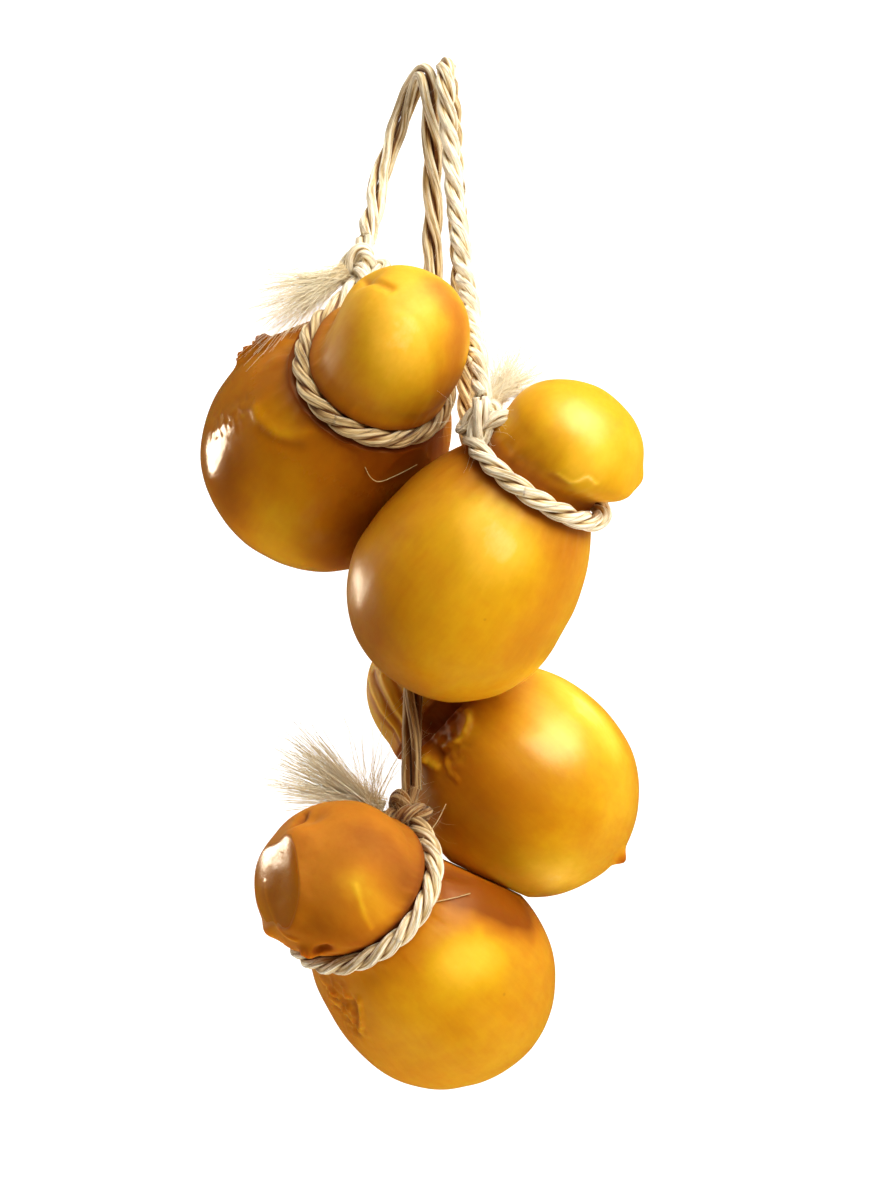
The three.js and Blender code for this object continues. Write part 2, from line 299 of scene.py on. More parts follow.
def rind_material():
    """Smoked skin. The point value `tint` deepens its colour, or below 0 pales it: it carries the smoked
    tone, and also painted shade and painted highlights. `matt` is its roughness.
    """
    n = Nodes("smoked_rind")
    place = n.attribute("place", "Vector")
    cloud = n.noise(place, 38, 4, 0.55)
    blotch = n.noise(place, 130, 4, 0.6)
    strands = n.noise(n.stretched(place, (1, 0.12, 1)), 620, 3, 0.6)
    # the tint attribute brings in painted shade and painted highlights as well as the smoked tone
    smoke_and_painted_light = n.total(0.015, (cloud, 0.22), (blotch, 0.12), (strands, 0.07), (n.attribute("tint"), 0.25))
    colour = n.ramp(smoke_and_painted_light, [(0.0, (0.95, 0.70, 0.20)), (0.08, (0.90, 0.55, 0.05)),
                            (0.22, (0.70, 0.40, 0.014)), (0.34, (0.60, 0.275, 0.008)),
                            (0.46, (0.50, 0.19, 0.005)), (0.75, (0.27, 0.075, 0.002))])
    speck = n.add("ShaderNodeTexVoronoi", {"Vector": place, "Scale": 95.0, "Randomness": 1.0})
    chosen = n.add("ShaderNodeSeparateColor", {"Color": speck.outputs["Color"]}).outputs[0]
    dot = n.times(n.spread(speck.outputs["Distance"], 0.075, 0.03), n.spread(chosen, 0.90, 0.94))
    colour = n.mix(n.times(dot, 0.55), colour, (0.30, 0.10, 0.01))
    rough = n.total(-0.12, (n.attribute("matt"), 1.0), (strands, 0.14), (blotch, 0.10))
    height = n.total(0.0, (n.noise(place, 320), 0.55), (strands, 0.3), (n.noise(place, 1500, 3, 0.6), 0.10))
    bump = n.add("ShaderNodeBump", {"Height": height, "Strength": 0.32, "Distance": 0.00035})
    shader = n.add("ShaderNodeBsdfPrincipled", {
        "Base Color": colour, "Roughness": rough, "Normal": bump.outputs[0], "IOR": 1.45,
        "Specular IOR Level": 0.45,
        "Subsurface Weight": 0.35, "Subsurface Radius": (1.0, 0.32, 0.05), "Subsurface Scale": 0.008,
    })
    return n.finish(shader)


def twine_material(name, light, dark):
    """Fibres run along uv's v. A value at each point browns and darkens them, as staining and as painted
    shade
    in the crevices of the lay: 0 is clean, 1 is a dark crevice.
    """
    n = Nodes(name)
    uv = n.add("ShaderNodeTexCoord").outputs["UV"]
    place = n.add("ShaderNodeTexCoord").outputs["Object"]
    fibres = n.noise(n.stretched(uv, (13, 0.8, 1)), 1.0, 3, 0.6)
    fine = n.noise(n.stretched(uv, (48, 2.0, 1)), 1.0, 3, 0.6)
    patch = n.noise(place, 90, 3, 0.5)
    streak = n.total(-0.225, (fibres, 0.62), (fine, 0.38), (patch, 0.45))
    colour = n.ramp(streak, [(0.34, dark), (0.45, tuple((a + b) / 2 for a, b in zip(light, dark))),
                             (0.54, light)])
    soiled_and_shaded = n.total(0.45, (n.attribute("soil_and_shade"), 1.0), (fibres, -0.9))
    stain_and_shade = n.ramp(soiled_and_shaded, [(0.08, (1, 1, 1)), (0.45, (0.78, 0.65, 0.42)), (1.0, (0.28, 0.13, 0.035))])
    colour = n.mix(1.0, colour, stain_and_shade, "MULTIPLY")
    bump = n.add("ShaderNodeBump", {"Height": streak, "Strength": 1.0, "Distance": 0.0007})
    shader = n.add("ShaderNodeBsdfPrincipled", {
        "Base Color": colour, "Roughness": n.spread(fine, 0.3, 0.7, 0.62, 0.85), "Normal": bump.outputs[0],
        "Sheen Weight": 0.25, "Sheen Roughness": 0.5, "IOR": 1.45,
        "Subsurface Weight": 0.12, "Subsurface Radius": (1.0, 0.7, 0.4), "Subsurface Scale": 0.001,
    })
    return n.finish(shader)


def floor_material():
    n = Nodes("pale_floor")
    place = n.add("ShaderNodeTexCoord").outputs["Object"]
    colour = n.mix(n.noise(place, 6, 2), (0.26, 0.26, 0.26), (0.28, 0.28, 0.28))
    shader = n.add("ShaderNodeBsdfPrincipled", {
        "Base Color": colour, "Roughness": 0.9, "Specular IOR Level": 0.1,
        "Emission Color": (1, 1, 1, 1), "Emission Strength": 1.0,
    })
    return n.finish(shader)


RIND = rind_material()
CORD = twine_material("natural_twine", (1.0, 0.93, 0.74), (0.37, 0.26, 0.11))
FIBRE = twine_material("frayed_fibre", (1.0, 0.94, 0.74), (0.84, 0.72, 0.48))

# --- twine: three strands laid together ---

STEP = 0.55  # between the points of a cord's line
PITCH = 22  # along a neck loop, for one turn of a strand
STRAND_SIDES = 22
STRAND_RADIUS = 0.262  # over the twine's diameter
YARNS = 5  # in each strand, as ridges
YARN_HEIGHT = 0.085  # of a ridge, over the strand's radius
YARN_TURN = 0.8  # of a yarn in its strand, for one turn of the strand
HAIR_SIDES = 3
TWINE_OFF_FLOOR, HAIR_OFF_FLOOR = 0.05, 0.15


def tangents_of(line, closed=False):
    if closed:
        return unit(np.roll(line, -1, axis=0) - np.roll(line, 1, axis=0))
    return unit(np.gradient(line, axis=0))


def frames_along(line, closed=False):
    """Unit tangents, and normals carried along without twisting."""
    tangent = tangents_of(line, closed)
    normal = np.zeros_like(line)
    previous = np.array([0, 0, 1.0]) if abs(tangent[0][2]) < 0.8 else np.array([1.0, 0, 0])
    for i, t in enumerate(tangent):
        previous = previous - t * (previous @ t)
        previous /= np.linalg.norm(previous)
        normal[i] = previous
    if closed:
        gap = math.atan2(np.dot(np.cross(normal[-1], normal[0]), tangent[0]), np.dot(normal[-1], normal[0]))
        turn = gap * np.arange(len(line)) / len(line)
        side = np.cross(tangent, normal)
        normal = normal * np.cos(turn)[:, None] + side * np.sin(turn)[:, None]
    return tangent, normal, np.cross(tangent, normal)


def rings_round(line, radius, first, second, sides):
    """A ring of points round each point of a line, from its two directions across."""
    theta = np.linspace(0, 2 * np.pi, sides, endpoint=False)[:, None]
    across = np.cos(theta) * first[..., None, :] + np.sin(theta) * second[..., None, :]
    return line[..., None, :] + np.asarray(radius)[..., None] * across


def cap_quads(sides):
    """Closes a ring of an even number of points with a ladder of quads."""
    j = np.arange(sides // 2 - 1)
    return np.stack([j, j + 1, sides - 2 - j, sides - 1 - j], axis=1)


def tube_faces(count, sides, closed=False):
    """The quads of a tube of `count` rings, which is closed on itself or capped at both ends."""
    i, j = np.meshgrid(np.arange(count if closed else count - 1), np.arange(sides), indexing="ij")
    a, b, k = i * sides, (i + 1) % count * sides, (j + 1) % sides
    quads = np.stack([a + j, a + k, b + k, b + j], -1).reshape(-1, 4)
    if closed:
        return quads
    return np.vstack([quads, cap_quads(sides)[:, ::-1], cap_quads(sides) + (count - 1) * sides])


def joined(parts):
    """One set of points, faces, uv and values of staining and painted shade from several."""
    points, faces, uv, soil_and_shade = zip(*parts)
    bases = np.cumsum([0] + [len(p) for p in points[:-1]])
    faces = [f + base for f, base in zip(faces, bases)]
    return np.vstack(points), np.vstack(faces), np.vstack(uv), np.concatenate(soil_and_shade)


def twisted(line, diameter, turns, seed, closed=False, loose=0.0):
    """Points, faces, uv and staining values, with painted shade in the crevices, of three strands along a
    line.
    `turns` is how far each point has turned round, in whole turns; `loose` from 0 to 1, a number or one for
    each point, opens the lay."""
    rng = np.random.default_rng(seed)
    _, normal, side = frames_along(line, closed)
    count = len(line)
    along = distance_along(line)
    loose = np.broadcast_to(np.asarray(loose, float), count)
    theta = np.linspace(0, 2 * np.pi, STRAND_SIDES, endpoint=False)
    parts = []
    for strand in range(3):
        own, fixed = np.full(count, float(strand)), np.full(count, 1.0)
        wave = noise(np.stack([along, own * 31, fixed * seed], 1), 14, seed)
        wobble = noise(np.stack([along, fixed * 9, own * 17], 1), 9, seed + 7)
        if closed:
            ends = smoothstep(np.minimum(along, along[-1] - along), 0, 14)
            wave, wobble = wave * ends, wobble * ends
        angle = -2 * np.pi * (turns + strand / 3) + wave * (0.12 + 0.5 * loose)
        thick = diameter * (STRAND_RADIUS - 0.02 * loose) * (1 + 0.05 * wobble)
        reach = diameter / 2 * 1.02 - thick * (1 - 0.30 * loose) + diameter * 0.05 * loose * wobble
        out = normal * np.cos(angle)[:, None] + side * np.sin(angle)[:, None]
        middle = line + out * reach[:, None]
        heading = tangents_of(middle, closed)
        first = unit(out - heading * (out * heading).sum(1, keepdims=True))
        lobe = YARNS * (theta - 2 * np.pi * turns[:, None] * YARN_TURN) + rng.uniform(0, 6)
        radius = thick[:, None] * (1 + YARN_HEIGHT * np.cos(lobe) - 0.03 * np.cos(2 * theta))
        ring = rings_round(middle, radius, first, np.cross(heading, first), STRAND_SIDES)
        # painted shade: the parts of each strand that lie deep in the lay, and the valleys between its
        # yarns, are darkened
        depth = np.linalg.norm(ring - line[:, None], axis=2) / (diameter / 2)
        between = (0.5 - 0.5 * np.cos(lobe)) ** 3
        soil_and_shade = 1 - smoothstep(depth, 0.48, 0.94) + 0.38 * between
        across = theta / (2 * np.pi) - YARN_TURN * turns[:, None] + 0.37 * strand
        uv = np.stack([across.ravel(), np.repeat(along / 10, STRAND_SIDES)], axis=1)
        parts.append((ring.reshape(-1, 3), tube_faces(count, STRAND_SIDES, closed), uv, soil_and_shade.ravel()))
    return joined(parts)


def hairs(roots, directions, lengths, radius, curl, seed, bends=6, taper=0.75, brown=0.0):
    """Fine fibres from `roots` (mm), each a thin tapering tube that wanders as it goes."""
    rng = np.random.default_rng(seed)
    count = len(roots)
    t = np.linspace(0, 1, bends)
    drift = unit(rng.normal(size=(count, 3))) * curl
    sway = unit(rng.normal(size=(count, 3))) * curl * 0.6
    way = directions[:, None] * t[:, None] + drift[:, None] * (t**2)[:, None]
    way = way + sway[:, None] * np.sin(t * 5)[:, None] * 0.35
    line = roots[:, None] + way * lengths[:, None, None]
    line[..., 2] = np.maximum(line[..., 2], HAIR_OFF_FLOOR)
    heading = unit(np.gradient(line, axis=1))
    first = unit(np.cross(heading, unit(rng.normal(size=(count, 1, 3)))))
    thick = radius[:, None] * (1 - taper * t)
    ring = rings_round(line, thick[..., None], first, np.cross(heading, first), HAIR_SIDES)
    first_points = np.arange(count)[:, None, None] * bends * HAIR_SIDES
    faces = (tube_faces(bends, HAIR_SIDES) + first_points).reshape(-1, 4)
    own = np.repeat(rng.uniform(size=count), bends * HAIR_SIDES)
    along = np.tile(np.repeat(t, HAIR_SIDES), count)
    # painted shade: each fibre is darker towards its root
    soil_and_shade = brown + 0.35 * (1 - along) ** 2
    return ring.reshape(-1, 3), faces, np.stack([own, along], axis=1), soil_and_shade


def fuzz(line, diameter, per_mm, longest, seed):
    """Stray fibres standing off a length of twine."""
    rng = np.random.default_rng(seed)
    count = int(length_of(line) * per_mm)
    tangent, normal, side = frames_along(line)
    at = rng.integers(1, len(line) - 1, count)
    angle = rng.uniform(0, 2 * np.pi, count)[:, None]
    out = normal[at] * np.cos(angle) + side[at] * np.sin(angle)
    along = tangent[at] * rng.choice([-1, 1], (count, 1))
    lean = rng.uniform(0.15, 0.8, (count, 1))
    lengths = rng.uniform(0.25, 1, count) ** 2 * longest + 1
    return hairs(line[at] + out * diameter * 0.44, unit(along + out * lean), lengths,
                 rng.uniform(0.03, 0.055, count), 0.45, seed + 1)


# How the lay changes along each free length: share of the length, turns per mm, looseness and staining. The
# staining is also painted shade: higher on the lengths that lie in shade; below 0 it lightens the twine.
LAYS = {
    "upper_left_to_bottom": [
        (0, 0.030, 0.5, 0.05), (0.06, 0.016, 0.9, 0.1), (0.20, 0.010, 1.0, 0.05), (0.25, 0.018, 0.8, 0.08),
        (0.33, 0.022, 0.6, 0.12), (0.45, 0.018, 0.7, 0.22), (0.62, 0.018, 0.7, 0.22),
        (0.76, 0.012, 0.5, 0.42), (0.90, 0.010, 0.5, 0.5), (1.0, 0.008, 0.7, 0.6),
    ],
    "centre_to_lower_right": [
        (0, 0.046, 0.2, -0.45), (0.28, 0.040, 0.3, -0.25), (0.37, 0.045, 0.2, -0.1),
        (0.44, 0.045, 0.2, 0.35), (1.0, 0.045, 0.2, 0.5),
    ],
}
for order, (name, route) in enumerate(TWINES.items()):
    line = curve_through(route, STEP)
    share = np.linspace(0, 1, len(line))
    stops, rates, looseness, soils_and_shade = zip(*LAYS[name])
    turns = np.concatenate([[0], np.cumsum(np.interp(share, stops, rates))[:-1]]) * STEP
    loose = np.interp(share, stops, looseness)
    points, faces, uv, soil_and_shade = twisted(line, TWINE, turns, 11 + order, loose=loose)
    points[:, 2] = np.maximum(points[:, 2], TWINE_OFF_FLOOR)
    # painted shade and staining along the length, from the table above
    soil_and_shade = soil_and_shade + np.tile(np.repeat(np.interp(share, stops, soils_and_shade), STRAND_SIDES), 3)
    twine = mesh_object(f"twine_{name}_laid", points, faces, CORD, uv, {"soil_and_shade": soil_and_shade})
    points, faces, uv, soil_and_shade = fuzz(line, TWINE, 1.5, 6, 21 + order)
    fluff = mesh_object(f"twine_{name}_fuzz", points, faces, FIBRE, uv, {"soil_and_shade": soil_and_shade})
    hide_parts(f"twine_{name}")

# --- the cheeses ---

AROUND = 256
LOWER_RINGS, GROOVE_RINGS, UPPER_RINGS = 130, 22, 90
RIND_OFF_FLOOR = 0.02
RIM = 1.2  # how far past the groove its close rings go
GROOVE_EDGE, GROOVE_ROUNDING = 2.2, 1.6
SQUEEZE_UP, SQUEEZE_REACH = 8, 16  # the middle of a squeeze above the neck, and its length


def egg_radius(height, egg):
    at, low, high, radius = egg
    reach = np.where(height < at, low, high)
    return radius * np.sqrt(np.maximum(0, 1 - ((height - at) / reach) ** 2))


def skin_radius(height, cheese):
    body, head = egg_radius(height, cheese["body"]), egg_radius(height, cheese["head"])
    fillet = np.maximum(np.minimum(FILLET, np.minimum(2 * body, 2 * head)), 1e-9)
    near = np.maximum(0, 1 - np.abs(body - head) / fillet)
    return np.maximum(body, head) + near * near * fillet / 4


def soft_min(a, b, width):
    near = np.maximum(0, 1 - np.abs(a - b) / width)
    return np.minimum(a, b) - near * near * width / 4


def on_skin(at, turn, cheese):
    """Points in the cheese's own frame; at and turn are arrays."""
    at, turn = np.asarray(at, float), np.radians(turn)
    radius = skin_radius(at, cheese)
    return np.stack([radius * np.sin(turn), at, radius * np.cos(turn)], axis=-1)


def squeezed(heights, turn, neck):
    """How far in the skin and its twine are pressed at one side of the neck; turn is in radians."""
    side, spread, amount = neck.get("squeeze", (0, 1, 0))
    away = np.degrees(np.angle(np.exp(1j * (turn - math.radians(side)))))
    along = (heights - neck["at"] - SQUEEZE_UP) / SQUEEZE_REACH
    return amount * np.exp(-(away / spread) ** 2 - along**2)


def ring_heights(cheese):
    bottom = cheese["body"][0] - cheese["body"][1]
    top = cheese["head"][0] + cheese["head"][2]
    neck = cheese["neck"]["at"]
    lower = np.linspace(0, 1, LOWER_RINGS, endpoint=False) ** 1.7
    upper = np.linspace(1, 0, UPPER_RINGS + 1)[1:] ** 1.7
    edge = BED + RIM
    return np.concatenate([bottom + (neck - edge - bottom) * lower,
                           np.linspace(neck - edge, neck + edge, GROOVE_RINGS),
                           top - (top - neck - edge) * upper])


def mark(line, width, tint=0, lift=0, crumble=0):
    """A mark on the skin along (height, turn) points, of a half width and a lift in mm. `tint` is how much
    deeper, or below 0 paler, it is than the skin round it; many deeper tints are painted shade in furrows
    and shaded places, and many paler ones are painted highlights on ridges and lit places. `crumble` is the
    height of its ragged grain."""
    return {"line": line, "width": width, "tint": tint, "lift": lift, "crumble": crumble}


MARKS = {
    "upper_left": [
        # the ragged fold on its left shoulder, with painted shade in the furrow beside it
        mark([(9, -100), (15, -101), (19, -102)], 2.4, tint=0.7, lift=2.0, crumble=2.2),
        mark([(19, -102), (25, -104), (30, -105)], 1.8, tint=0.8, lift=0.9, crumble=1.4),
        mark([(9, -88), (17, -92), (24, -94), (29, -98)], 1.4, tint=0.7, lift=-0.8),
        # the flap of skin in front: painted highlights on its lip, painted light in the hollow above it,
        # and painted shade in the furrow under it
        mark([(23.7, -44), (23.7, -37), (25, -29), (27.3, -20), (31.6, -13), (34, -9)],
             1.9, tint=-0.5, lift=0.55),
        mark([(30, -38), (31, -26)], 5, tint=-0.5, lift=-1.1),
        mark([(22.5, -33), (24.5, -20), (28, -10)], 1.6, tint=0.35, lift=-0.4),
        # patches of colour, and a crumbly one: the pale patch is painted light, and the deeper patches on
        # the right and the lower left are painted shade
        mark([(4, -56), (12, -50), (20, -50)], 4.5, tint=0.1, crumble=0.22),
        mark([(4, 2), (-10, 14)], 13, tint=-0.55),
        mark([(12, 42), (0, 50)], 9, tint=0.6),
        mark([(6, -34), (-5, -24)], 8, tint=0.7),
        # creases and colour on the head: painted shade in the creases, a painted highlight on the pale
        # patch, and patches of deeper colour
        mark([(62.4, -111), (67.5, -98), (71.6, -85), (74.5, -68)], 1.3, tint=0.3, lift=-0.8),
        mark([(75, -20), (74.5, 25), (69.4, 50), (62, 60), (54, 62)], 1.7, tint=0.15, lift=-0.12),
        mark([(76, 150), (72, 105), (68, 84), (60, 76), (52, 76)], 6, tint=0.9),
        mark([(74, 14), (71, 16)], 9, tint=-0.75),
        mark([(62, -34), (52, -20), (49, 0)], 6, tint=0.15),
    ],
    "centre": [
        # patches of colour: the pale ones are painted highlights, and the deeper ones on the right and the
        # lower left are painted shade
        mark([(30, -8), (27, 8)], 9, tint=-1.05),
        mark([(26, -34), (20, -18), (14, 4)], 9, tint=-0.15),
        mark([(30, 52), (18, 52), (4, 50)], 8, tint=0.5),
        mark([(58, 26), (55, 22)], 6, tint=-0.5),
        mark([(-8, -46), (-16, -30)], 9, tint=0.35),
        # fine ridges above the twine, painted paler as highlights, with painted shade in the furrow under
        # them, and a paler dent on the left that takes back part of the painted shade beside the twine
        mark([(49.2, 8), (49.0, 14), (48.9, 20)], 0.8, tint=-0.6, lift=0.22),
        mark([(50, 23), (52.6, 25), (52.2, 34)], 0.8, tint=-0.6, lift=0.22),
        mark([(47.6, 6), (47.4, 20)], 1.2, tint=0.3, lift=-0.25),
        mark([(45, -36), (47, -50), (50.6, -62)], 3.0, tint=-0.25, lift=-0.3),
    ],
    "lower_right": [
        # the torn skin by the hidden neck: painted shade in its pocket and furrows, and painted highlights
        # on its lips and ridges
        mark([(28.4, -16), (26.8, -9), (25.6, -2)], 2.6, tint=0.9, lift=-2.8),
        mark([(31, -33), (27, -33), (22.5, -32), (18.5, -29)], 1.6, tint=-0.9, lift=1.7, crumble=1.1),
        mark([(30, -25), (24.5, -24), (19.5, -23)], 1.3, tint=0.9, lift=-1.5),
        mark([(25.5, -6), (25.3, 2), (23.5, 7), (20.3, 3), (18.4, -8), (20.4, -18)],
             1.1, tint=-0.5, lift=1.6, crumble=1.2),
        mark([(22.6, -1), (21, -8), (22.5, -14)], 1.5, tint=0.5, lift=-1.0, crumble=0.6),
        mark([(25, 4), (22.5, 8), (20, 5)], 0.9, tint=-0.6, lift=0.3),
        mark([(23, -12), (18, -10), (16, -18)], 3.5, tint=0.1, crumble=0.7),
        mark([(17.5, -22), (14, -25), (11, -24)], 0.8, lift=0.6, crumble=0.6),
        # patches of colour: the pale ones are painted highlights and painted light, and the deeper ones on
        # the left are painted shade
        mark([(16.8, -37), (11.4, -43), (6, -52)], 7, tint=0.15),
        mark([(-2, -66), (-16, -62), (-25, -50)], 9, tint=-1.0),
        mark([(0, 38), (3, 54)], 9, tint=-0.6),
        mark([(17, 73), (4, 67), (-9, 63)], 6, tint=-0.8),
        mark([(-16, 56), (-24, 50)], 9, tint=-0.4),
        mark([(6, -14), (-8, -8)], 9, tint=0.45),
        # pulled ridges and furrows on the head, with painted highlights on the ridges and painted shade in
        # the furrows
        mark([(53, -66), (45, -58), (37, -55), (33, -56)], 1.1, tint=0.9, lift=-0.5),
        mark([(54, -52), (46, -48), (38, -49), (33, -51)], 1.0, tint=-0.6, lift=0.5),
        mark([(53, -38), (46, -38), (38, -42), (34, -44)], 1.0, tint=1.0, lift=-0.5),
        mark([(50, -26), (44, -30), (37, -35), (33, -37)], 0.9, tint=-0.5, lift=0.4),
        mark([(48, -14), (42, -20), (36, -26)], 1.1, tint=0.9, lift=-0.4),
        # the nub
        mark([(-32, 88), (-32, 92)], 1.6, tint=1.6, lift=0.4),
    ],
    "bottom": [
        # the raised edge of the flat place on the head
        mark([(73.5, -140), (72.4, -51), (68.4, -50), (64, -56)], 5.5, lift=3.0),
        # ridges, nubs, dents and colour on the head: painted highlights on the ridges, a nub and a pale
        # patch, painted light on the left against the painted shade of the shaded side, and painted shade
        # in the dents and along the right edge by the twine
        mark([(70.6, 149), (73, 160)], 1.3, tint=0.8, lift=-1.4),
        mark([(67.9, -103), (63.5, -81), (59.7, -65), (58.3, -55)], 0.7, tint=-0.5, lift=0.5),
        mark([(66.1, -95), (65.5, -91)], 4, tint=0.2, lift=0.8),
        mark([(65, -110), (57, -86)], 6, tint=-0.75),
        mark([(53.7, -54), (53.3, -50)], 1.7, tint=-0.3, lift=1.9, crumble=0.5),
        mark([(53.4, -44), (53.5, -37)], 1.4, tint=1.6, lift=-1.6),
        mark([(64.1, 12), (58.1, 2), (52.3, -2)], 0.8, tint=-0.5, lift=0.2),
        mark([(64, 14), (58, 12), (52, 12)], 5, tint=-0.8),
        mark([(66, 60), (60, 50), (53, 40)], 6, tint=0.6),
        mark([(60, -30), (56, -20), (52, -14)], 4, tint=0.35),
        # dents and patches of colour on the body: painted shade in the dent, the painted shadow of the next
        # cheese along its top, and a painted highlight on the pale patch
        mark([(33, 79), (35, 79)], 6, tint=0.5, lift=-3.0),
        mark([(33, 62), (20, 60), (10, 66)], 6.5, tint=2.6),
        mark([(34, 50), (32, 36)], 5, tint=0.4),
        mark([(25, 16), (20, 25)], 8, tint=-1.0),
        # the crumbly patch under the twine on the left, with painted highlights on its ridges and painted
        # shade in its furrows
        mark([(29.1, -52), (23.7, -56), (17.5, -63)], 0.9, tint=-0.3, lift=1.0, crumble=0.6),
        mark([(28, -57), (22, -61), (16.5, -68)], 1.3, tint=0.5, lift=-0.6),
        mark([(32, -68), (26, -67), (18, -68)], 4.5, tint=0.3, crumble=0.9),
        mark([(33, -84), (28, -71)], 0.9, tint=-0.3, lift=0.9, crumble=0.4),
        mark([(31, -62), (29, -60)], 1.0, tint=-0.2, lift=0.8, crumble=0.5),
        mark([(25.5, -62), (24, -66)], 0.8, tint=-0.3, lift=0.7, crumble=0.5),
        mark([(30, -81), (25.5, -69)], 0.8, tint=0.7, lift=-0.7),
        mark([(27, -79), (21, -67)], 0.9, tint=-0.3, lift=0.8, crumble=0.4),
        mark([(23, -80), (18.5, -69)], 0.8, tint=0.7, lift=-0.6),
    ],
}
# How deeply smoked each body and head looks; the bottom cheese's much deeper head is partly painted shade
SMOKE_AND_SHADE = {"upper_left": (0.55, 0.1), "centre": (0.2, 0.0), "lower_right": (0.38, -0.4),
         "bottom": (0.4, 1.15)}
# Painted shade on the skin under and beside each neck loop
SHADE_UNDER_TWINE = 0.9
SHADE_BESIDE_TWINE = 0.5
SHADED_SIDE = (-1, -0.25, -0.1)  # the side of the bunch turned away from the key light, given painted shade
SHADED_SIDE_DEEPER = 0.6
# How matt each body and head is, as a roughness
MATT = {"upper_left": (0.17, 0.62), "centre": (0.35, 0.39), "lower_right": (0.36, 0.60),
        "bottom": (0.34, 0.85)}
MATT_BY_TWINE = 0.24  # how much more matt a body is where its skin is gathered under the twine
MATT_REACH = 13
# Painted shade: how much deeper each is round the place where it touches another
CONTACT_SHADE = {"upper_left": 1.2, "centre": 0.2, "lower_right": 0.0, "bottom": 0.7}
CONTACT_REACH = 7
# A flat, shiny place: a point and a normal in the bunch's frame, and the share of the bulge that is kept
FACETS = {"bottom": ((-34.0, -53, 84.0), (-0.86, 0.03, 0.50), 0.26)}
FACET_EDGE = 0.8  # how deep a bulge has to be to look like the facet
FACET_MATT = 0.22
# The facet is painted paler, which takes back part of the painted shade of the shaded side there
FACET_PALER = 0.2


def mark_skin(points, name, cheese):
    """The lift and the tint that the marks give each point."""
    lift, tint = np.zeros(len(points)), np.zeros(len(points))
    for order, spot in enumerate(MARKS[name]):
        at, turn = np.array(spot["line"], float).T
        corners = on_skin(at, turn, cheese)
        line = curve_through(corners, 0.8) if len(corners) > 2 else spaced(corners, 0.8)
        away = np.full(len(points), 1e9)
        for p in line:
            away = np.minimum(away, ((points - p) ** 2).sum(1))
        wander = 1 + 0.35 * min(1, 2.5 / spot["width"]) * noise(points, 5, 50 + order)
        near = np.exp(-away / (spot["width"] * wander) ** 2)
        lift += near * spot["lift"]
        tint += near * spot["tint"]
        if spot["crumble"]:
            ragged = noise(points, 2.2, 60 + order) + 0.6 * noise(points, 1.1, 61 + order)
            lift += near * ragged * spot["crumble"]
            tint += near * ragged * 0.5
    return lift, tint


def presses_on(name):
    """The planes that a cheese is pressed flat against: each one's normal and a point of it."""
    presses = []
    for pair in CONTACTS:
        if name in pair:
            own, other = CHEESES[name], CHEESES[pair[1 - pair.index(name)]]
            start, end = np.array(own["centre"]), np.array(other["centre"])
            away = unit(start - end)
            slack = np.linalg.norm(start - end) - own["body"][3] - other["body"][3] - GAP
            presses.append((away, start - away * (own["body"][3] + slack / 2)))
    return presses


def grooved_radius(heights, cheese):
    """The skin's radius at each height, with the groove that the twine lies in."""
    neck = cheese["neck"]
    from_neck = np.abs(heights - neck["at"])
    depth = np.sqrt(np.maximum(0, BED**2 - from_neck**2))
    wall = np.minimum(8, 32 * np.maximum(0, from_neck - BED))
    skin = skin_radius(heights, cheese)
    grooved = soft_min(skin, neck["radius"] - depth + wall, GROOVE_ROUNDING)
    return np.where(from_neck < BED + GROOVE_EDGE, grooved, skin)


def fold_over(turn, neck):
    """How far the skin is folded over the twine at each turn, from 0 to 1."""
    if "folded_over" not in neck:
        return np.zeros(len(turn))
    start, end = neck["folded_over"]
    around = np.degrees(turn) - 360 * (turn > np.pi)
    return smoothstep(around, start - 12, start + 6) * (1 - smoothstep(around, end - 6, end + 12))


def unevenness(points, y, turn, beside, seed):
    """The skin's own lift: it is gathered beside the twine, and pulled long along the axis."""
    rolled = np.stack([np.sin(turn) * 22, y * 0.12, np.cos(turn) * 22], axis=1)
    gathers = noise(rolled, 3.4, seed) + 0.5 * noise(rolled, 1.7, seed + 1)
    pulled = noise(points * (1, 0.25, 1), 6, seed + 2)
    broad = noise(points, 24, seed + 3) * 0.45 + noise(points, 9, seed + 4) * 0.16
    return gathers * beside * 0.55 + pulled * 0.10 + broad


def flattened(world, tint, matt, name, below):
    """The skin pressed flat where the cheese touches another, with painted shade round the contact, and at
    its facet, which is made shinier and painted paler.
    """
    for normal, through in presses_on(name):
        gap = (world - through) @ normal
        world = world - np.where(below, np.minimum(0, gap), 0)[:, None] * normal
        tint = tint + CONTACT_SHADE[name] * below * np.exp(-((np.maximum(0, gap) / CONTACT_REACH) ** 2))
    if name in FACETS:
        through, normal, keep = FACETS[name]
        normal = unit(np.array(normal))
        above = (world - np.array(through)) @ normal
        world = world - (np.maximum(above, 0) * (1 - keep))[:, None] * normal
        inside = smoothstep(above, 0, FACET_EDGE)
        matt = matt + (FACET_MATT - matt) * inside
        tint = tint - FACET_PALER * inside
    return world, tint, matt


def bare_form(heights, cheese):
    """The form without its skin's detail: its points, and the turn and the fold at each."""
    neck = cheese["neck"]
    y = np.repeat(heights, AROUND)
    turn = np.tile(np.linspace(0, 2 * np.pi, AROUND, endpoint=False), len(heights))
    radius = np.maximum(np.repeat(grooved_radius(heights, cheese), AROUND) - squeezed(y, turn, neck), 0)
    fold = fold_over(turn, neck)
    lid = neck["radius"] + BED + 0.45  # the outside of the fold
    radius = radius + fold * np.maximum(0, lid - radius) * (np.abs(y - neck["at"]) < BED + 4)
    return np.stack([radius * np.sin(turn), y, radius * np.cos(turn)], axis=1), turn, fold


